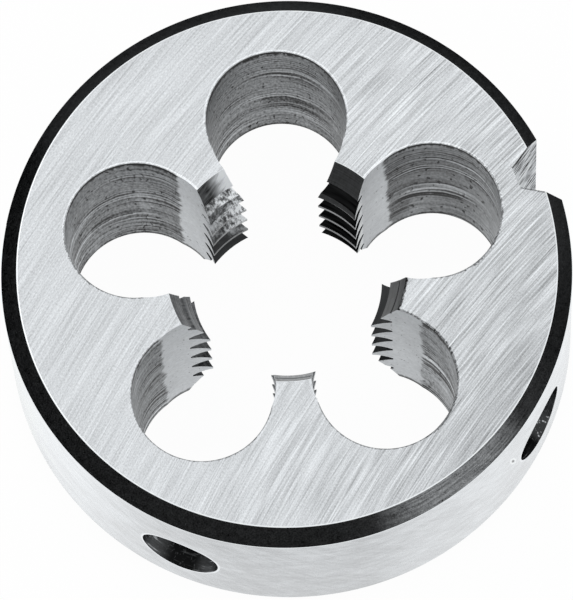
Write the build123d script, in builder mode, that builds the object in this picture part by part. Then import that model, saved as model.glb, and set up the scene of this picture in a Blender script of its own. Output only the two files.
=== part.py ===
from build123d import *
import math
import os

# Driving dimensions, in millimetres and degrees.

# Blank: a disc that fits the pocket of a die holder, bevelled at both faces.
die_diameter = 45.0
die_thickness = 18.0
bevel_width = 1.2
bevel_height = 1.41

# Thread that the die cuts: metric, right hand.
thread_diameter = 18.0
thread_pitch = 2.5
thread_flank_angle = 30.0
crest_height = 0.83  # where a tooth crest passes the +X axis, above the lower face

# Lead-in cones, one at each face.
lead_in_diameter = 18.9
lead_in_angle = 24.0  # from the axis

# Chip flutes: drilled, then ground along the flanks of the lands for the rake.
flute_count = 5
first_flute_azimuth = 90.0
flute_circle_diameter = 24.5
flute_diameter = 11.1
rake_circle_diameter = 22.76
rake_diameter = 10.62

# Adjusting notch: a V with a flat floor, cut over the full thickness outside one flute.
notch_azimuth = 18.0
notch_angle = 65.0
notch_depth = 3.0
notch_floor_width = 1.75

# Conical recesses in the rim for the holder's screws, in pairs either side of the notch.
recess_diameter = 6.9
recess_angle = 90.0
recess_height = 8.2
near_recess_offset = 48.6
far_recess_offset = 134.3

# Sizes that follow from these.
die_radius = die_diameter / 2
lead_in_radius = lead_in_diameter / 2
thread_triangle_height = thread_pitch / 2 / math.tan(math.radians(thread_flank_angle))
thread_depth = thread_triangle_height * 17 / 24  # down to the root of the bolt's thread
root_radius = thread_diameter / 2
crest_radius = root_radius - thread_depth
lead_in_depth = (lead_in_radius - crest_radius) / math.tan(math.radians(lead_in_angle))
land_spacing = 360 / flute_count

# One thread groove, as wide as a single land and its clearance to both sides, where it
# ends in the flutes. Its floor is flat, its flanks slope, and its open side reaches a
# little inside the crests.
groove_sweep = 0.8 * land_spacing
groove_floor_width = thread_pitch / 8
groove_open_radius = crest_radius - thread_pitch / 10
groove_open_width = groove_floor_width + 2 * (root_radius - groove_open_radius) * math.tan(
    math.radians(thread_flank_angle)
)

with BuildPart() as thread_groove:
    with BuildLine() as groove_helix:
        Helix(pitch=thread_pitch, height=thread_pitch * groove_sweep / 360, radius=root_radius)
    with BuildSketch(Plane.XZ) as groove_section:
        with BuildLine():
            Polyline(
                (root_radius, -groove_floor_width / 2),
                (root_radius, groove_floor_width / 2),
                (groove_open_radius, groove_open_width / 2),
                (groove_open_radius, -groove_open_width / 2),
                close=True,
            )
        make_face()
    sweep(path=groove_helix.wire(), is_frenet=True)


def groove_places():
    """Every place of the groove on every land, along one right-hand helix."""
    places = []
    for land in range(flute_count):
        azimuth = first_flute_azimuth + (land + 0.5) * land_spacing - groove_sweep / 2
        height = crest_height + thread_pitch * (azimuth / 360 - 0.5)
        turn = -math.ceil(height / thread_pitch) - 1
        while height + turn * thread_pitch < die_thickness + thread_pitch:
            places.append(Location((0, 0, height + turn * thread_pitch), (0, 0, azimuth)))
            turn += 1
    return places


def rim_plane(azimuth):
    """Plane that touches the rim at the height of the recesses, facing outwards."""
    outward = Vector(1, 0, 0).rotate(Axis.Z, azimuth)
    return Plane(origin=outward * die_radius + Vector(0, 0, recess_height), z_dir=outward)


with BuildPart() as threading_die:
    # Blank with its bevelled rim, its bore and both lead-in cones, turned about the axis.
    with BuildSketch(Plane.XZ) as half_section:
        with BuildLine():
            Polyline(
                (lead_in_radius, 0),
                (die_radius - bevel_width, 0),
                (die_radius, bevel_height),
                (die_radius, die_thickness - bevel_height),
                (die_radius - bevel_width, die_thickness),
                (lead_in_radius, die_thickness),
                (crest_radius, die_thickness - lead_in_depth),
                (crest_radius, lead_in_depth),
                close=True,
            )
        make_face()
    revolve(axis=Axis.Z)

    # Chip flutes, which part the bore into lands.
    with BuildSketch() as flutes:
        with PolarLocations(flute_circle_diameter / 2, flute_count, first_flute_azimuth):
            Circle(flute_diameter / 2)
        with PolarLocations(rake_circle_diameter / 2, flute_count, first_flute_azimuth):
            Circle(rake_diameter / 2)
    extrude(amount=die_thickness, mode=Mode.SUBTRACT)

    # Cutting teeth on the lands.
    with Locations(*groove_places()):
        add(thread_groove.part, mode=Mode.SUBTRACT)

    # Adjusting notch.
    notch_floor = die_radius - notch_depth
    notch_mouth = die_radius + bevel_width
    notch_mouth_width = notch_floor_width + 2 * (notch_mouth - notch_floor) * math.tan(
        math.radians(notch_angle / 2)
    )
    with BuildSketch(Plane.XY.rotated((0, 0, notch_azimuth))) as notch:
        with BuildLine():
            Polyline(
                (notch_floor, -notch_floor_width / 2),
                (notch_mouth, -notch_mouth_width / 2),
                (notch_mouth, notch_mouth_width / 2),
                (notch_floor, notch_floor_width / 2),
                close=True,
            )
        make_face()
    extrude(amount=die_thickness, mode=Mode.SUBTRACT)

    # Screw recesses, coaxial cones that point at the axis.
    recess_azimuths = [
        notch_azimuth + side * offset
        for offset in (near_recess_offset, far_recess_offset)
        for side in (-1, 1)
    ]
    with Locations(*[rim_plane(azimuth) for azimuth in recess_azimuths]):
        Cone(
            bottom_radius=0,
            top_radius=recess_diameter / 2,
            height=recess_diameter / 2 / math.tan(math.radians(recess_angle / 2)),
            align=(Align.CENTER, Align.CENTER, Align.MAX),
            mode=Mode.SUBTRACT,
        )

threading_die.part.label = "threading_die"

os.makedirs("parts", exist_ok=True)
export_step(threading_die.part, "parts/threading_die.step")
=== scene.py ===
import math

import bmesh
import bpy
from mathutils import Matrix, Vector


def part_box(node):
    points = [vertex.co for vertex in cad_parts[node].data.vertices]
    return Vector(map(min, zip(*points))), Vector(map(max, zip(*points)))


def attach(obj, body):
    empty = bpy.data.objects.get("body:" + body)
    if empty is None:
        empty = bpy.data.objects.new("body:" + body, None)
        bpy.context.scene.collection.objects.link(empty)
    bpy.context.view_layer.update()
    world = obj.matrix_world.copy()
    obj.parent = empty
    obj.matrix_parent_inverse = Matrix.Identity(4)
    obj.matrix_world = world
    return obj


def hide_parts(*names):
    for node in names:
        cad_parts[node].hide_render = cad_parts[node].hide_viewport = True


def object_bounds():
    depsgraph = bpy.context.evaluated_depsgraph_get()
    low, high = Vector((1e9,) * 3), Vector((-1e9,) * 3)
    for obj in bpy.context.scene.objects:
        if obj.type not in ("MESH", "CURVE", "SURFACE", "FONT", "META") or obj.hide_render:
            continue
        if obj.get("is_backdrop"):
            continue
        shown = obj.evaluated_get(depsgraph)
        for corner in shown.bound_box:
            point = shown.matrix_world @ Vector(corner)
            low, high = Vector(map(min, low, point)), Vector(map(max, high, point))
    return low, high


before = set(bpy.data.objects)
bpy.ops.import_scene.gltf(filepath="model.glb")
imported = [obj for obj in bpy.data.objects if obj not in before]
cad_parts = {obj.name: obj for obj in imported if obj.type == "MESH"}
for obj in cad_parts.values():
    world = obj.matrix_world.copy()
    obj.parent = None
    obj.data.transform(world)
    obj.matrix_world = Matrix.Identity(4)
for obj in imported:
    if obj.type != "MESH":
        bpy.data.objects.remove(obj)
cad_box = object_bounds()

MM = 0.001

# ---------------------------------------------------------------------------
# Sizes of the die, in metres and degrees
# ---------------------------------------------------------------------------

low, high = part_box("threading_die")
thickness = high.z - low.z
rim_radius = min(high.x - low.x, high.y - low.y) / 2

# The groove has the depth and the flat floor of a metric bolt's thread.
thread_radius = 9.0 * MM
thread_pitch = 2.5 * MM
flank_angle = 30.0
crest_height = 0.83 * MM
sharp_depth = thread_pitch / 2 / math.tan(math.radians(flank_angle))
thread_depth = sharp_depth * 17 / 24
thread_flat = thread_pitch / 8
crest_radius = thread_radius - thread_depth

lead_in_radius = 9.45 * MM
lead_in_angle = 24.0
lead_in_depth = (lead_in_radius - crest_radius) / math.tan(math.radians(lead_in_angle))

flute_count = 5
first_flute = 90.0
flute_circle = 12.25 * MM
flute_radius = 5.55 * MM
rake_circle = 11.38 * MM
rake_radius = 5.31 * MM

notch_azimuth = 18.0
notch_angle = 65.0
notch_depth = 3.0 * MM
notch_floor = 1.75 * MM

recess_radius = 3.45 * MM
recess_height = 8.2 * MM
recess_offsets = (48.6, 134.3)

# The faces were ground a little out of true, so the edges of the bevels drift round the rim.
# Each size has its middle, its swing and the azimuth where it is widest.
bevel_drift = {
    "width": (1.25 * MM, 0.08 * MM, 150.0),
    "height": (1.51 * MM, 0.26 * MM, -115.0),
}

# Worn and ground edges: how far each sharp edge is rounded.
rim_edge_round = 0.11 * MM
mouth_edge_round = 0.05 * MM

# Fineness of the curved faces.
rim_segments = 512
flute_segments = 256
thread_segments = 128
recess_segments = 96
edge_steps = 3

# Cutters reach past what they cut by these factors.
drill_reach = 1.5
notch_reach = 1.3
recess_reach = 1.2


# ---------------------------------------------------------------------------
# Flutes and lands by name, as they lie seen from above with the notch on the right
# ---------------------------------------------------------------------------


def flute_azimuth(number):
    """Azimuth of a flute, counted anticlockwise. A half more is the land past that flute."""
    return first_flute + number * 360 / flute_count


notch_flute = flute_azimuth(-1)
left_flute = flute_azimuth(1)
lower_left_flute = flute_azimuth(2)
lower_right_flute = flute_azimuth(3)

upper_right_land = flute_azimuth(-0.5)
upper_left_land = flute_azimuth(0.5)
left_land = flute_azimuth(1.5)
bottom_land = flute_azimuth(2.5)
right_land = flute_azimuth(3.5)


# ---------------------------------------------------------------------------
# Node trees, for shapes and for finishes
# ---------------------------------------------------------------------------


class Field:
    """A socket that takes part in sums, so that node maths reads as an expression."""

    def __init__(self, graph, socket):
        self.graph = graph
        self.socket = socket

    def math(self, operation, *others):
        values = dict(enumerate((self, *others)))
        return self.graph.add("ShaderNodeMath", {"operation": operation}, values)

    def __add__(self, other):
        return self.math("ADD", other)

    def __radd__(self, other):
        return self.math("ADD", other)

    def __sub__(self, other):
        return self.math("SUBTRACT", other)

    def __rsub__(self, other):
        return -self + other

    def __mul__(self, other):
        return self.math("MULTIPLY", other)

    def __rmul__(self, other):
        return self.math("MULTIPLY", other)

    def __truediv__(self, other):
        return self.math("DIVIDE", other)

    def __neg__(self):
        return self.math("MULTIPLY", -1)


def hypotenuse(a, b):
    return (a * a + b * b).math("SQRT")


class Graph:
    """A node tree. add() makes one node, sets it up, fills its inputs and returns an output."""

    def __init__(self, tree):
        self.tree = tree

    def add(self, kind, settings=None, values=None, output=0):
        node = self.tree.nodes.new(kind)
        for name, value in (settings or {}).items():
            setattr(node, name, value)
        for key, value in (values or {}).items():
            self.fill(node.inputs[key], value)
        return Field(self, node.outputs[output]) if node.outputs else None

    def fill(self, socket, value):
        if isinstance(value, Field):
            self.tree.links.new(value.socket, socket)
        else:
            socket.default_value = value


# ---------------------------------------------------------------------------
# Finishes
# ---------------------------------------------------------------------------


def steel(value):
    """A slightly cool grey of the given reflectance."""
    return (value * 0.965, value, value * 1.03, 1.0)


class Finish(Graph):
    """The node tree of one finish, with its shader and the place on the die.

    Places are in millimetres and radians. glancing is how bright the metal shines at a flat
    angle, from 0 to 1, which is low for walls with an oxide or burrs on them.
    """

    def __init__(self, name, glancing=1.0):
        self.material = bpy.data.materials.new(name)
        self.material.use_nodes = True
        super().__init__(self.material.node_tree)
        self.shader = self.tree.nodes["Principled BSDF"]
        self.give(metallic=1.0)
        self.fill(self.shader.inputs["Specular Tint"], (glancing, glancing, glancing, 1.0))
        place = self.add("ShaderNodeTexCoord", output="Object")
        self.x, self.y, self.z = (
            self.add("ShaderNodeSeparateXYZ", {}, {"Vector": place}, axis) / MM for axis in range(3)
        )
        self.radius = hypotenuse(self.x, self.y)
        self.azimuth = self.y.math("ARCTAN2", self.x)

    def give(self, colour=None, roughness=None, metallic=None, height=None, depth=0.01):
        """Fills the shader's inputs. The height is a relief, as deep as the depth in millimetres."""
        sockets = {"Base Color": colour, "Roughness": roughness, "Metallic": metallic}
        for name, value in sockets.items():
            if value is not None:
                self.fill(self.shader.inputs[name], value)
        if height is not None:
            values = {"Height": height, "Strength": 1.0, "Distance": depth * MM}
            self.fill(self.shader.inputs["Normal"], self.add("ShaderNodeBump", {}, values))

    def noise(self, x=0.0, y=0.0, z=0.0, detail=2.0, roughness=0.5):
        """Noise about 0 whose cells are one unit long on each axis."""
        vector = self.add("ShaderNodeCombineXYZ", {}, {"X": x, "Y": y, "Z": z})
        values = {"Vector": vector, "Scale": 1.0, "Detail": detail, "Roughness": roughness}
        return self.add("ShaderNodeTexNoise", {"noise_dimensions": "3D"}, values) - 0.5

    def mottle(self, size, detail, roughness=0.5):
        """Noise about 0 in round cells of a size in millimetres."""
        return self.noise(self.x / size, self.y / size, self.z / size, detail, roughness)

    def step(self, value, low, high):
        """0 below the low mark and 1 above the high one, smooth between them."""
        values = {"Value": value, "From Min": low, "From Max": high}
        return self.add("ShaderNodeMapRange", {"interpolation_type": "SMOOTHSTEP"}, values)

    def line(self, value, width):
        """1 where a value is 0, down to 0 where it is a width away."""
        return 1 - self.step(value.math("ABSOLUTE"), 0.0, width)

    def mix(self, factor, first, second):
        settings = {"data_type": "RGBA", "clamp_factor": True}
        return self.add("ShaderNodeMix", settings, {0: factor, 6: first, 7: second}, 2)

    def grey(self, value):
        """Steel whose reflectance follows a value from 0 to 1."""
        return self.mix(value, steel(0.0), steel(1.0))

    def grinding_arcs(self):
        """Place across and along the arcs that the grinding wheel left, about a far centre."""
        centre_x, centre_y, reach = 99, -83, 129
        x = self.x - centre_x
        y = self.y - centre_y
        return hypotenuse(x, y), y.math("ARCTAN2", x) * reach

    def near(self, degrees, half_width, fade):
        """1 on the sector of the die about an azimuth, fading out at its sides."""
        turned_to = (self.azimuth - math.radians(degrees)).math("COSINE")
        inner = math.cos(math.radians(half_width))
        outer = math.cos(math.radians(half_width + fade))
        return self.step(turned_to, outer, inner)

    def land(self, azimuth):
        """1 on the land at an azimuth."""
        return self.near(azimuth, 25, 10)

    def flute(self, azimuth):
        """1 in the flute at an azimuth, as far as the middles of the lands beside it."""
        return self.near(azimuth, 36, 4)

    def thick_burr_and_shade(self):
        """1 on the side of the lower right flute where its burr and painted shade are thick."""
        return self.near(322, 14, 4)

    def painted_mouth_shade(self):
        """1 on the land whose mouth gets a painted shade."""
        return self.near(right_land, 22, 5)


def recess_place(f):
    """Place in the nearest screw recess: how far outwards, sideways, and from its own axis."""
    near, far = (math.radians(offset) for offset in recess_offsets)
    from_notch = (f.azimuth - math.radians(notch_azimuth)).math("WRAP", math.pi, -math.pi)
    from_notch = from_notch.math("ABSOLUTE")
    is_far = from_notch.math("GREATER_THAN", (near + far) / 2)
    local = from_notch - near - is_far * (far - near)
    outwards = f.radius * local.math("COSINE")
    sideways = f.radius * local.math("SINE")
    return outwards, sideways, hypotenuse(sideways, f.z - recess_height / MM)


def recess_gap(f):
    """Distance in millimetres from the nearest screw recess, below 0 inside it."""
    outwards, _, from_axis = recess_place(f)
    return (from_axis - outwards + (rim_radius - recess_radius) / MM) * math.sqrt(0.5)


def flute_place(f):
    """Place in the nearest flute: its number, and the way outwards and sideways from its centre."""
    spacing = math.tau / flute_count
    turned_to = f.azimuth - math.radians(first_flute)
    flute = (turned_to / spacing).math("ROUND")
    local = turned_to - flute * spacing
    outwards = f.radius * local.math("COSINE") - flute_circle / MM
    sideways = f.radius * local.math("SINE")
    return flute, outwards, sideways


def flute_edge(f):
    """Distances in millimetres from the drilled and ground edges of the nearest flute, and
    how far along +Y the place is from the flute's centre, as a share of its radius."""
    flute, outwards, sideways = flute_place(f)
    drilled = hypotenuse(outwards, sideways) - flute_radius / MM
    ground = hypotenuse(outwards + (flute_circle - rake_circle) / MM, sideways) - rake_radius / MM
    turned_to = flute * (math.tau / flute_count) + math.radians(first_flute)
    above = f.y / (flute_radius / MM) - turned_to.math("SINE") * (flute_circle / flute_radius)
    return drilled, ground, above


def flute_rims(f, chips):
    """Painted highlight ring, and dark burr with painted shade, at the mouths of the flutes, each from 0
    to 1.
    """
    drilled, ground, above = flute_edge(f)
    edge = drilled.math("MINIMUM", ground)
    thick = f.thick_burr_and_shade()
    jagged = (f.near(12, 15, 6) + f.near(172, 8, 6) * 0.5) * f.step(f.radius, 11, 13)
    # Painted highlight: a bright ring on the upper side of each mouth.
    ring = (1 - f.step(edge, 0.14, 0.24)) * f.step(above, -0.35, 0.35) * (1 - thick)
    ring = ring * (1 - f.near(220, 22, 6) * 0.8)
    # The dark burr is partly painted shade, all round the mouth.
    ragged = edge + chips * (0.22 + jagged * 0.3) - thick * 0.08 - jagged * 0.07
    has_burr_and_shade = f.step(ground - drilled, -0.04, 0.02).math("MAXIMUM", thick)
    return ring, (1 - f.step(ragged, 0.03, 0.11)) * has_burr_and_shade


def notch_edge_shadow(f):
    """Painted shadow: a dark line along the clockwise edge of the notch."""
    c = math.cos(math.radians(notch_azimuth))
    s = math.sin(math.radians(notch_azimuth))
    outwards = f.x * c + f.y * s
    sideways = f.y * c - f.x * s
    floor = (rim_radius - notch_depth) / MM
    half_width = notch_floor / MM / 2 + (outwards - floor) * math.tan(math.radians(notch_angle / 2))
    return f.line(half_width + sideways + 0.05, 0.14) * f.step(outwards, floor - 0.1, floor + 0.1)


def ground_face_finish():
    """Rotary ground faces: long arcs of fine scratches, burrs with painted shade where the face is cut
    away, and painted highlights and shade at its edges.
    """
    f = Finish("ground_face")
    across, along = f.grinding_arcs()

    def scratches(width, length, pick=0):
        """Noise drawn out along the arcs, in marks of a width and length in millimetres."""
        return f.noise(across / width, along / length, f.z + pick, 1)

    middle = scratches(0.17, 9, 7)
    deep = f.step(scratches(0.12, 7, 29), 0.14, 0.30)
    bright = f.step(scratches(0.12, 6, 41), 0.14, 0.30)
    right = f.step(f.x, -22, 22)
    streaks = scratches(0.085, 3.5) * (0.32 + right * 0.08) + middle * 0.52 + scratches(0.8, 20, 13) * 0.16
    streaks = streaks * (0.72 + right * 0.88) * (1 - f.near(95, 12, 22) * 0.25)
    streaks = streaks - deep * (0.09 + right * 0.17) + bright * 0.07

    # Painted shadow near the rim at about −38°, and the face darker towards the lower right.
    painted_shadow = f.near(-38, 9, 12) * f.step(f.radius, 17.0, 20.5)
    darker_lower_right = f.step(f.x - f.y * 0.5, 8, 22) + painted_shadow * (1.2 + streaks * 4)
    chips = f.noise(f.x / 0.22, f.y / 0.22, f.z, 2)
    ring, burr_and_shade = flute_rims(f, chips)
    past_mouth = f.radius - lead_in_radius / MM + chips * 0.4
    # Painted highlight rings at the flute mouths, and painted shade along the burrs, the notch's edge and
    # the bore's mouth on one land.
    shade = (
        0.665
        - darker_lower_right * 0.06
        + streaks
        + scratches(0.09, 0.16) * 0.45
        + ring * 0.22
        - burr_and_shade * 0.42
        - notch_edge_shadow(f) * 0.42
        - (1 - f.step(past_mouth, 0.12, 0.24)) * f.painted_mouth_shade() * 0.60
    )
    f.give(f.grey(shade), 0.42 + middle * 0.25 + deep * 0.08, height=streaks, depth=0.006)
    return f.material


def polished_edge_finish():
    """Narrow bright line where a sharp edge has been broken."""
    f = Finish("polished_edge")
    wear = f.mottle(0.5, 3)
    # Painted shade on the edge of the bore's mouth at one land.
    mouth_shaded = f.painted_mouth_shade() * (1 - f.step(f.radius, 9.6, 9.8))
    f.give(f.grey(0.97 + wear * 0.25 - mouth_shaded * 0.95), 0.28 + wear * 0.2)
    return f.material


def black_bevel_finish():
    """Black oxide left on the bevels, with a painted sheen on the lower right and painted reflections
    round it.
    """
    f = Finish("black_bevel", glancing=0.3)
    mottle = f.mottle(0.5, 4, 0.65)
    fleck = f.step(f.mottle(0.14, 1), 0.15, 0.3)
    grain = f.mottle(0.11, 1)
    scuffs = f.noise(f.azimuth * 9, f.radius / 0.16, f.z / 0.16, 2)
    # Painted sheen on the lower right of the bevel, streaked with scuffs.
    painted_sheen = f.near(-56, 0, 20) * 0.90 + f.near(-52, 8, 24) * 0.10
    painted_sheen = painted_sheen * (0.19 + mottle * 0.24 + scuffs * 0.50 + fleck * 0.16 + grain * 0.3)
    shade = (
        0.0165
        + mottle * 0.030
        + fleck * 0.030
        + grain * 0.045
        + painted_sheen.math("MAXIMUM", 0.0)
        # Painted reflections: lighter on the far side and a little darker on the left.
        + f.near(112, 20, 25) * 0.020
        + f.near(45, 35, 25) * 0.012
        - f.near(-168, 30, 20) * 0.003
    )
    f.give(f.grey(shade), 0.42 + mottle * 0.2, height=mottle, depth=0.008)
    return f.material


def ground_rim_finish():
    """Cylindrically ground rim with faint marks and one small pit, bright at the recess lips, with a
    painted reflection lightening its sides.
    """
    f = Finish("ground_rim")
    pit_azimuth, pit_height = -41.6, 10.3
    along = f.azimuth * (rim_radius / MM)
    marks = f.noise(along / 3.0, f.z / 0.45, f.radius, 3)
    clouds = f.noise(along / 2.2, f.z / 1.6, f.radius, 3)
    strokes = f.noise((along + f.z * 0.9) / 0.5, (f.z - along * 0.5) / 3.5, f.radius + 3, 2)
    grain = f.noise(along / 0.12, f.z / 0.3, f.radius, 1)
    scratch = f.step(f.noise(along / 2.5, (f.z + along * 0.12) / 0.3, f.radius + 9, 1), 0.16, 0.30)
    # Painted reflection: the rim is lighter towards its sides, and near −158° and −58°.
    painted_reflection_sides = f.azimuth.math("COSINE")
    shade = (
        0.57
        + painted_reflection_sides * painted_reflection_sides * 0.36
        + f.near(-158, 12, 25) * 0.10
        + f.near(-58, 6, 12) * 0.06
        + marks * 0.20
        + clouds * 0.36
        + grain * 0.14
        + strokes * 0.22
        + scratch * 0.10
    )
    # The pit is a slanted oval, dark inside a bright ring.
    past_pit = along - math.radians(pit_azimuth) * (rim_radius / MM)
    from_pit = hypotenuse(past_pit, past_pit * 1.07 + (f.z - pit_height) * 0.48)
    pit = f.step(from_pit, 0.12, 0.24)
    colour = f.mix(f.step(from_pit, 0.36, 0.50), steel(0.99), f.grey(shade))
    colour = f.mix(pit, steel(0.16), colour)
    colour = f.mix(f.step(recess_gap(f), 0.08, 0.20), steel(0.95), colour)
    f.give(colour, 0.26 + clouds * 0.15, height=marks * 0.5 + pit * 2, depth=0.006)
    return f.material


def flute_wall_finish():
    """Flutes: drilled walls with rings and tears, and a smooth ground strip next to each land."""
    f = Finish("flute_wall", glancing=0.75)
    wall_radius = 5.5
    number, outwards, sideways = flute_place(f)
    seed = number.math("MODULO", flute_count) * 17.3
    turned_to = sideways.math("ARCTAN2", outwards)
    arc = turned_to * wall_radius

    def marks(width, height, pick=0, detail=1, level=f.z):
        """Noise on the wall, in cells of a width round the flute and a height in millimetres."""
        return f.noise(arc / width, level / height, seed + pick, detail)

    # Sectors of the die; the burr at the top of the wall, darkened with painted shade, and a darker line
    # at its foot.
    right = f.flute(notch_flute)
    lower_left = f.flute(lower_left_flute)
    lower_right = f.flute(lower_right_flute)
    above = flute_edge(f)[2]
    below_face = thickness / MM - f.z
    chips = f.noise(arc / 0.3, seed, 0.5, 1)
    foot = 1 - f.step(f.z + chips * 0.6, 0.30, 0.75)
    lip = 1 - f.step(below_face + chips * 2.0, 0.3, 0.9)
    mouth = 1 - f.step(below_face + chips * 0.8, 0.25, 0.60)

    # Feed marks: contour lines of a slow noise, dark on one side and light on the other.
    swaying = f.z + marks(4, 6, 0, 2) * 1.2
    waves = marks(50, 2.0, 0, 1, swaying)
    dark_ring = f.line(waves + 0.01, 0.040) + f.line(waves - 0.12, 0.028) * 0.8
    light_ring = f.line(waves - 0.055, 0.030) + f.line(waves - 0.160, 0.022) * 0.8
    rings = marks(7, 0.32, 0, 2, swaying)
    bands = marks(20, 1.3, 5, 1, swaying)
    flow = f.step(marks(26, 0.75, 61, 1, swaying).math("ABSOLUTE"), 0.0, 0.10) - 1
    strength = 0.30 + f.step(marks(6, 4, 3), -0.15, 0.15) * 0.9
    strength = strength * (1 + right * 0.35 + lower_right * 1.0 + lower_left * 0.5)
    feed = rings * 0.56 + bands * 0.314 + flow * 0.095 - dark_ring * 0.190 + light_ring * 0.246

    # Drilled wall: feed marks, tears, and more light on some walls than on others.
    tears = f.step(marks(0.34, 0.8, 9, 0), 0.20, 0.27)
    smear = f.step(marks(3.0, 7.0, 50, 2, f.z - arc * 1.2), 0.06, 0.24)
    pale = f.noise((arc + f.z * 0.25) / 5, (f.z + arc * 0.35) / 1.5, seed + 71, 1)
    left_end = f.flute(left_flute) * f.step(arc, -3.6, -1.2) * (1 - f.step(f.z, 10, 15))
    light = (
        (1 - f.step(above, 0.05, 0.55)) * 0.078
        + (1 - f.step(above, 0.55, 0.95)) * right * 0.112
        + f.near(left_land, 36, 4) * 0.067
        + lower_right * 0.108
        - right * 0.063
        + f.near(250, 20, 6) * 0.07
        + f.near(174, 10, 6) * 0.05
    )
    drilled = (
        0.310
        + feed * strength
        + marks(0.20, 0.5) * (0.515 - right * 0.202)
        + smear * 0.112
        + (f.step(pale, -0.04, 0.12) - 0.2) * left_end * 0.336
        + light
        - tears * 0.24
        - lip * 0.14
        - mouth * 0.34
        - foot * 0.16
    ).math("MAXIMUM", 0.01)

    # Ground strip: clouded and pitted, bright where it ends at the teeth of one land.
    cloud = marks(1.5, 1.5, 31, 3)
    pits = f.step(marks(0.24, 0.5, 33), 0.19, 0.26)
    ground = (
        0.7435
        + cloud * 0.198
        + marks(0.25, 0.3, 35) * 0.22
        - pits * 0.374
        - f.near(318, 14, 6) * 0.088
        + (1 - f.step(f.radius, 8.7, 9.1)) * f.near(46, 10, 6) * 0.26
        - foot * 0.55
    )

    # The two meet on a ragged line, seen as an angle round the flute from the bore's side.
    from_bore = 180 - turned_to.math("ABSOLUTE") * (180 / math.pi)
    ragged = marks(8, 1.1, 21, 2) * 13 + f.noise(0.5, f.z / 0.3, seed + 2, 1) * 4
    is_drilled = f.step(from_bore + ragged - right * below_face * 0.33, 67.5, 71)
    shade = ground + is_drilled * (drilled - ground)
    relief = is_drilled * (rings - dark_ring * 1.2 + light_ring * 0.5 - tears) + cloud * 0.1
    roughness = 0.40 + is_drilled * 0.05 + rings * is_drilled * 0.3
    f.give(f.grey(shade), roughness, height=relief, depth=0.02)
    return f.material


def lead_in_finish():
    """Lead-in cones: turned lines, polished with a painted reflection on one land and darker on another.
    """
    f = Finish("lead_in_cone")
    lines = f.noise(f.azimuth * 2, f.z / 0.14, f.radius / 3, 2)
    cloud = f.mottle(0.7, 3)
    streaks = f.noise(f.azimuth * 60, f.z / 0.9, f.radius / 2, 2)
    clockwise = f.step(f.azimuth, math.radians(130), math.radians(117))
    upper = f.step(f.z, 15.0, 15.6)
    polish_and_reflection = f.land(upper_left_land)
    wheel, stroke = f.grinding_arcs()
    grind = f.noise(wheel / 0.14, stroke / 1.4, f.z / 0.6, 2)
    # Painted reflection on the clockwise side of the polished cone, with grinding marks in it.
    shine = (clockwise * 1.15 + grind * (0.5 + clockwise) - 0.01) * upper
    blotch = f.step(f.noise(f.azimuth * 22, f.z / 0.42, f.radius / 0.6, 3, 0.7), -0.11, 0.13)
    shade = (
        0.105
        + lines * 0.10
        + cloud * 0.10
        + streaks * 0.05
        + f.land(left_land) * (0.11 + streaks * 0.16 + lines * 0.45)
        - f.land(upper_right_land) * (0.057 + lines * 0.03 + cloud * 0.08)
        + polish_and_reflection * (shine + blotch * 1.05 * (0.3 + clockwise * 0.7) * (1 - upper))
        + f.land(bottom_land) * (0.23 + streaks * 0.4 + cloud * 0.4)
    )
    f.give(f.grey(shade), 0.42, 0.5 - polish_and_reflection * clockwise * 0.4, height=lines, depth=0.006)
    return f.material


def tooth_finish(name, base, dark, bright, speckled):
    """Teeth of the lands: polished or stained, with tool lines along the thread.

    base is their usual reflectance, dark the upper right land's and bright the upper left
    land's, where speckled is how strongly bright specks stand out.
    """
    f = Finish(name)
    climb = f.z - f.azimuth * (thread_pitch / MM / math.tau)
    lines = f.noise(f.azimuth * 2.5, climb / 0.14, f.radius / 0.5, 2)
    mottle = f.noise(f.azimuth * 22, f.z / 0.42, f.radius / 0.6, 3, 0.7)
    cloud = f.mottle(0.9, 2)
    streaks = f.noise(f.azimuth * 34, f.z / 1.4, f.radius / 1.2, 2)
    upper_left = f.land(upper_left_land)
    clockwise = f.step(f.azimuth, math.radians(140), math.radians(118))
    upper = f.step(f.z + cloud * 5 + clockwise * 2, 8.0, 12.5)
    specks = f.step(mottle + cloud * 0.4, -0.13, 0.15) * speckled * upper * (0.35 + clockwise * 0.65)
    shade = (
        base
        + lines * (base * 0.8)
        + f.land(left_land) * (streaks * 0.34 + lines * 0.25 + (0.09 - base * 0.15))
        + f.land(upper_right_land) * (dark - base)
        + f.land(bottom_land) * (0.20 - base * 0.3)
        + upper_left * (bright - base + specks)
    )
    metallic = 1 - upper_left * upper * 0.75
    f.give(f.grey(shade), 0.4 + mottle * 0.2, metallic, height=lines, depth=0.006)
    return f.material


def notch_wall_finish():
    """Notch: rough milled walls with slanted tears."""
    f = Finish("notch_wall", glancing=0.6)
    slant = f.z * 0.8 + (f.x - f.y) * 0.5
    across = f.z * 0.5 - (f.x - f.y) * 0.8
    tears = f.noise(slant / 0.28, across / 1.3, f.radius, 2, 0.55)
    dark = f.step(tears, 0.03, 0.16)
    lip = f.step(f.z + tears * 1.2, 17.15, 17.50)
    shade = (0.67 - tears * 2.5 - dark * 0.36 - lip * 0.72).math("MAXIMUM", 0.02)
    f.give(f.grey(shade), 0.5 + tears * 0.2, height=tears, depth=0.03)
    return f.material


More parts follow.
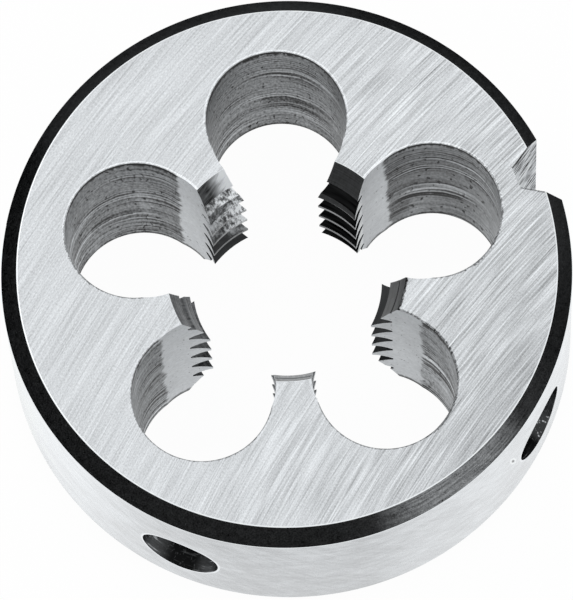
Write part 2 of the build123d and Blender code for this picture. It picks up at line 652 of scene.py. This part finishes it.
def recess_wall_finish():
    """Screw recesses: black walls with a few bright rings from the drill."""
    f = Finish("recess_wall", glancing=0.15)
    _, sideways, from_axis = recess_place(f)
    turned_to = (f.z - recess_height / MM).math("ARCTAN2", sideways)
    rings = f.noise(from_axis / 0.16, turned_to * 1.5, f.radius / 4, 2, 0.6)
    marks = f.step(rings, 0.07, 0.20)
    specks = f.step(f.noise(sideways / 0.18, f.z / 0.35, f.radius / 0.4, 1), 0.10, 0.24)
    right = f.near(notch_azimuth - recess_offsets[0], 10, 2)
    end = f.step(sideways.math("ABSOLUTE"), 0.8, 2.6) * (1 - right * 0.75)
    rough = f.step(sideways, -2.0, -1.2) * (1 - f.step(sideways, 0.0, 0.8)) * right
    shade = (
        0.008
        + end * (0.085 + rings * 0.16)
        + marks * (0.04 + end * 0.26)
        + specks * (0.03 + rough * 0.42)
        + rough * 0.04
    )
    f.give(f.grey(shade), 0.4 + rings * 0.3, height=rings, depth=0.01)
    return f.material


ground_face = ground_face_finish()
polished_edge = polished_edge_finish()
black_bevel = black_bevel_finish()
ground_rim = ground_rim_finish()
flute_wall = flute_wall_finish()
lead_in_cone = lead_in_finish()
tooth_crest = tooth_finish("tooth_crest", base=0.30, dark=0.22, bright=0.14, speckled=0.85)
tooth_flank = tooth_finish("tooth_flank", base=0.045, dark=0.006, bright=0.05, speckled=1.15)
notch_wall = notch_wall_finish()
recess_wall = recess_wall_finish()


# ---------------------------------------------------------------------------
# The turned blank
# ---------------------------------------------------------------------------


def rounded_corner(before, corner, after, radius):
    """Points of the arc that rounds one corner of an outline."""
    towards = (before - corner).normalized()
    away = (after - corner).normalized()
    half_angle = towards.angle(away) / 2
    middle = corner + (towards + away).normalized() * radius / math.sin(half_angle)
    start = corner + towards * radius / math.tan(half_angle) - middle
    end = corner + away * radius / math.tan(half_angle) - middle
    points = []
    for step in range(edge_steps + 1):
        mixed = start.lerp(end, step / edge_steps)
        points.append(middle + mixed.normalized() * radius)
    return points


def drifting(size, azimuth):
    """A size of the bevel at an azimuth in radians."""
    middle, swing, widest = bevel_drift[size]
    return middle + swing * math.cos(azimuth - math.radians(widest))


def blank_outline(azimuth):
    """Half section of the blank as (point, finish of the face that follows it)."""
    face = rim_radius - drifting("width", azimuth)
    bevel = drifting("height", azimuth)
    # On the near side the outer edges take the bright polished finish as a painted highlight; on the far
    # side they stay black.
    has_painted_edge_highlight = math.sin(azimuth) < 0.25
    outer_edge = polished_edge if has_painted_edge_highlight else black_bevel
    corners = [
        (Vector((lead_in_radius, 0)), mouth_edge_round, polished_edge, ground_face),
        (Vector((face, 0)), rim_edge_round, polished_edge, black_bevel),
        (Vector((rim_radius, bevel)), rim_edge_round, outer_edge, ground_rim),
        (Vector((rim_radius, thickness - bevel)), rim_edge_round, outer_edge, black_bevel),
        (Vector((face, thickness)), rim_edge_round, polished_edge, ground_face),
        (Vector((lead_in_radius, thickness)), mouth_edge_round, polished_edge, lead_in_cone),
        (Vector((crest_radius, thickness - lead_in_depth)), 0, polished_edge, tooth_crest),
        (Vector((crest_radius, lead_in_depth)), 0, polished_edge, lead_in_cone),
    ]
    outline = []
    for index, (corner, radius, edge, finish) in enumerate(corners):
        if radius == 0:
            outline.append((corner, finish))
            continue
        before = corners[index - 1][0]
        after = corners[(index + 1) % len(corners)][0]
        arc = rounded_corner(before, corner, after, radius)
        outline += [(point, edge) for point in arc[:-1]]
        outline.append((arc[-1], finish))
    return outline


def turned(name, outline_at, segments):
    """A closed solid turned about the Z axis, with one finish for each face of its outline."""
    mesh = bpy.data.meshes.new(name)
    finishes = list(dict.fromkeys(finish for point, finish in outline_at(0.0)))
    for finish in finishes:
        mesh.materials.append(finish)
    shape = bmesh.new()
    rings = []
    for segment in range(segments):
        azimuth = math.tau * segment / segments
        turn = Matrix.Rotation(azimuth, 3, "Z")
        section = outline_at(azimuth)
        ring = [shape.verts.new(turn @ Vector((p.x, 0, p.y))) for p, finish in section]
        rings.append((ring, [finish for p, finish in section]))
    for (near, section_finishes), (far, _) in zip(rings, rings[1:] + rings[:1]):
        for index, finish in enumerate(section_finishes):
            after = (index + 1) % len(near)
            side = shape.faces.new((near[index], far[index], far[after], near[after]))
            side.material_index = finishes.index(finish)
    bmesh.ops.recalc_face_normals(shape, faces=shape.faces)
    shape.to_mesh(mesh)
    shape.free()
    piece = bpy.data.objects.new(name, mesh)
    bpy.context.scene.collection.objects.link(piece)
    return piece


# ---------------------------------------------------------------------------
# Flutes, teeth, notch and recesses, cut from the blank
# ---------------------------------------------------------------------------


def cutting_tree(sizes):
    """Geometry Nodes that cut a turned blank into a die. Its inputs are the named sizes."""
    tree = bpy.data.node_groups.new("cut_die", "GeometryNodeTree")
    tree.interface.new_socket("Blank", in_out="INPUT", socket_type="NodeSocketGeometry")
    for name in sizes:
        tree.interface.new_socket(name, in_out="INPUT", socket_type="NodeSocketFloat")
    tree.interface.new_socket("Die", in_out="OUTPUT", socket_type="NodeSocketGeometry")

    g = Graph(tree)
    size = {name: g.add("NodeGroupInput", output=name) for name in sizes}
    index = g.add("GeometryNodeInputIndex")
    height = size["Thickness"]
    rim = size["Rim radius"]

    def vector(x=0.0, y=0.0, z=0.0):
        return g.add("ShaderNodeCombineXYZ", {}, {"X": x, "Y": y, "Z": z})

    def moved(geometry, x=0.0, y=0.0, z=0.0):
        values = {"Geometry": geometry, "Translation": vector(x, y, z)}
        return g.add("GeometryNodeTransform", {}, values)

    def around(geometry, count, azimuth, radius, z=0.0):
        """Copies of a geometry about the axis, each turned so that its X axis faces outwards."""
        points = g.add("GeometryNodeMeshLine", {}, {"Count": count, "Offset": (0, 0, 0)})
        place = vector(radius * azimuth.math("COSINE"), radius * azimuth.math("SINE"), z)
        points = g.add("GeometryNodeSetPosition", {}, {"Geometry": points, "Position": place})
        values = {"Points": points, "Instance": geometry, "Rotation": vector(z=azimuth)}
        copies = g.add("GeometryNodeInstanceOnPoints", {}, values)
        return g.add("GeometryNodeRealizeInstances", {}, {"Geometry": copies})

    def flutes(radius, circle):
        """Rods through both faces, one for each chip flute, on a circle about the axis."""
        values = {"Vertices": flute_segments, "Radius": radius, "Depth": height * drill_reach}
        rod = g.add("GeometryNodeMeshCylinder", {"fill_type": "NGON"}, values)
        azimuth = math.radians(first_flute) + index * (math.tau / flute_count)
        return around(moved(rod, z=height / 2), flute_count, azimuth, circle)

    def groove():
        """Thread groove: a wedge with a flat floor, swept up one right-hand helix."""
        pitch = size["Thread pitch"]
        opening = size["Thread depth"] + pitch / 10
        floor_half = size["Thread flat"] / 2
        mouth_half = floor_half + opening * math.tan(math.radians(flank_angle))
        corners = {
            "Point 1": vector(0, -floor_half),
            "Point 2": vector(0, floor_half),
            "Point 3": vector(-opening, mouth_half),
            "Point 4": vector(-opening, -mouth_half),
        }
        wedge = g.add("GeometryNodeCurvePrimitiveQuadrilateral", {"mode": "POINTS"}, corners)
        turns = math.ceil(thickness / thread_pitch) + 2
        values = {
            "Resolution": thread_segments,
            "Rotations": turns,
            "Start Radius": size["Thread radius"],
            "End Radius": size["Thread radius"],
            "Height": pitch * turns,
            "Reverse": True,
        }
        helix = g.add("GeometryNodeCurveSpiral", {}, values)
        helix = g.add("GeometryNodeSetCurveNormal", {"mode": "Z_UP"}, {"Curve": helix})
        values = {"Curve": helix, "Profile Curve": wedge, "Fill Caps": True}
        swept = g.add("GeometryNodeCurveToMesh", {}, values)
        # It runs midway between crests, and starts a turn and a half below the lowest one.
        return moved(swept, z=size["Crest height"] - pitch * 1.5)

    def notch():
        """Adjusting notch: a block pulled into a V with a flat floor."""
        block = g.add("GeometryNodeMeshCube", {}, {"Size": (1, 1, 1)})
        position = g.add("GeometryNodeInputPosition")
        along, across, upwards = (
            g.add("ShaderNodeSeparateXYZ", {}, {"Vector": position}, axis) for axis in range(3)
        )
        along = along + 0.5
        length = size["Notch depth"] * notch_reach
        widening = length * (2 * math.tan(math.radians(notch_angle / 2)))
        x = rim - size["Notch depth"] + along * length
        y = across * (size["Notch floor width"] + along * widening)
        z = height * (upwards * drill_reach + 0.5)
        values = {"Geometry": block, "Position": vector(x, y, z)}
        block = g.add("GeometryNodeSetPosition", {}, values)
        values = {"Geometry": block, "Rotation": vector(z=math.radians(notch_azimuth))}
        return g.add("GeometryNodeTransform", {}, values)

    def recesses():
        """Screw recesses in the rim: cones that point at the axis, in pairs beside the notch."""
        radius = size["Recess radius"]
        values = {
            "Vertices": recess_segments,
            "Radius Top": 0.0,
            "Radius Bottom": radius * recess_reach,
            "Depth": radius * recess_reach,
        }
        cone = g.add("GeometryNodeMeshCone", {"fill_type": "NGON"}, values)
        values = {"Geometry": cone, "Rotation": (0, -math.pi / 2, 0)}
        cone = g.add("GeometryNodeTransform", {}, values)
        near, far = (math.radians(offset) for offset in recess_offsets)
        pair = (index / 2).math("FLOOR")
        side = index.math("MODULO", 2) * 2 - 1
        azimuth = math.radians(notch_azimuth) + side * (near + pair * (far - near))
        out = rim + radius * (recess_reach - 1)
        return around(cone, 2 * len(recess_offsets), azimuth, out, size["Recess height"])

    # The flutes are drilled first, and then ground at the flanks of the lands.
    drilled = flutes(size["Flute radius"], size["Flute circle radius"])
    ground = flutes(size["Rake radius"], size["Rake circle radius"])
    body = g.add("NodeGroupInput", output="Blank")
    for cutter, finish in (
        (drilled, flute_wall),
        (ground, flute_wall),
        (groove(), tooth_flank),
        (notch(), notch_wall),
        (recesses(), recess_wall),
    ):
        cutter = g.add("GeometryNodeSetMaterial", {}, {"Geometry": cutter, "Material": finish})
        settings = {"operation": "DIFFERENCE", "solver": "EXACT"}
        body = g.add("GeometryNodeMeshBoolean", settings, {"Mesh 1": body, "Mesh 2": cutter})
    g.add("NodeGroupOutput", {}, {"Die": body})
    return tree


sizes = {
    "Thickness": thickness,
    "Rim radius": rim_radius,
    "Flute radius": flute_radius,
    "Flute circle radius": flute_circle,
    "Rake radius": rake_radius,
    "Rake circle radius": rake_circle,
    "Thread radius": thread_radius,
    "Thread depth": thread_depth,
    "Thread flat": thread_flat,
    "Thread pitch": thread_pitch,
    "Crest height": crest_height,
    "Notch depth": notch_depth,
    "Notch floor width": notch_floor,
    "Recess radius": recess_radius,
    "Recess height": recess_height,
}

die = turned("round_die", blank_outline, rim_segments)
cutting = die.modifiers.new("cut", "NODES")
cutting.node_group = cutting_tree(sizes)
for item in cutting.node_group.interface.items_tree:
    if item.name in sizes:
        cutting[item.identifier] = sizes[item.name]
evaluated = die.evaluated_get(bpy.context.evaluated_depsgraph_get())
die.data = bpy.data.meshes.new_from_object(evaluated)
die.modifiers.clear()


def set_shading(mesh):
    """Flat faces stay flat, curved ones are smooth, and corners between them stay sharp."""
    corner, corner_in_flute = math.radians(20), math.radians(5)
    flute_slot = mesh.materials.find("flute_wall")
    face_slot = mesh.materials.find("ground_face")
    shape = bmesh.new()
    shape.from_mesh(mesh)
    for side in shape.faces:
        side.smooth = side.material_index != face_slot
    for edge in shape.edges:
        in_flute = all(side.material_index == flute_slot for side in edge.link_faces)
        edge.smooth = edge.calc_face_angle(math.pi) < (corner_in_flute if in_flute else corner)
    shape.to_mesh(mesh)
    shape.free()


set_shading(die.data)
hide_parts("threading_die")
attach(die, "root")


# ---------------------------------------------------------------------------
# Floor, light and camera
# ---------------------------------------------------------------------------


def shown_white(g, surface):
    """The surface, seen by the camera and in gloss as white with a little of its own shade."""
    seen = 0
    for ray, share in (("Camera", 0.97), ("Transmission", 0.97), ("Glossy", 0.85)):
        seen = g.add("ShaderNodeLightPath", output=f"Is {ray} Ray") * share + seen
    white = g.add("ShaderNodeEmission", {}, {"Color": (1, 1, 1, 1), "Strength": 1.0})
    return g.add("ShaderNodeMixShader", {}, {0: seen, 1: surface, 2: white})


floor_mesh = bpy.data.meshes.new("floor")
reach = 3.0
under = -0.01 * MM
corners = [(-reach, -reach, under), (reach, -reach, under), (reach, reach, under), (-reach, reach, under)]
floor_mesh.from_pydata(corners, [], [(0, 1, 2, 3)])
floor = bpy.data.objects.new("floor", floor_mesh)
bpy.context.scene.collection.objects.link(floor)
pale = bpy.data.materials.new("pale_floor")
pale.use_nodes = True
pale.node_tree.nodes.clear()
g = Graph(pale.node_tree)
matt = g.add("ShaderNodeBsdfDiffuse", {}, {"Color": (0.9, 0.9, 0.9, 1)})
g.add("ShaderNodeOutputMaterial", {}, {"Surface": shown_white(g, matt)})
floor_mesh.materials.append(pale)
floor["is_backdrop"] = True

world = bpy.data.worlds.new("studio")
bpy.context.scene.world = world
world.use_nodes = True
world.node_tree.nodes.clear()
g = Graph(world.node_tree)
camera_ray = g.add("ShaderNodeLightPath", output="Is Camera Ray")
sky = g.add("ShaderNodeBackground", {}, {"Color": (1, 1, 1, 1), "Strength": 0.9})
white = g.add("ShaderNodeBackground", {}, {"Color": (1, 1, 1, 1), "Strength": 1.0})
backdrop = g.add("ShaderNodeMixShader", {}, {0: camera_ray, 1: sky, 2: white})
g.add("ShaderNodeOutputWorld", {}, {"Surface": backdrop})

lamp_data = bpy.data.lights.new("key", "AREA")
lamp_data.shape = "DISK"
lamp_data.size = 0.5
lamp_data.energy = 0.6
lamp = bpy.data.objects.new("key", lamp_data)
bpy.context.scene.collection.objects.link(lamp)
lamp.location = (-0.35, 0.25, 0.7)
lamp.rotation_euler = (-lamp.location).to_track_quat("-Z", "Y").to_euler()

camera_data = bpy.data.cameras.new("camera")
camera_data.sensor_width = 36.0
camera_data.lens = 513.73
camera_data.clip_end = 20.0
camera = bpy.data.objects.new("camera", camera_data)
bpy.context.scene.collection.objects.link(camera)
right = Vector((0.99770939, -0.06402954, -0.0218219))
upwards = Vector((0.0676219, 0.95263922, 0.29648913))
backwards = Vector((0.00180434, -0.29728563, 0.95478689))
axes = Matrix((right, upwards, backwards)).transposed()
camera.matrix_world = Matrix.Translation(Vector((1.070, -202.371, 659.025)) * MM) @ axes.to_4x4()
bpy.context.scene.camera = camera

bpy.context.scene.view_settings.view_transform = "Standard"

corners = {"cad": cad_box, "visual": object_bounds()}
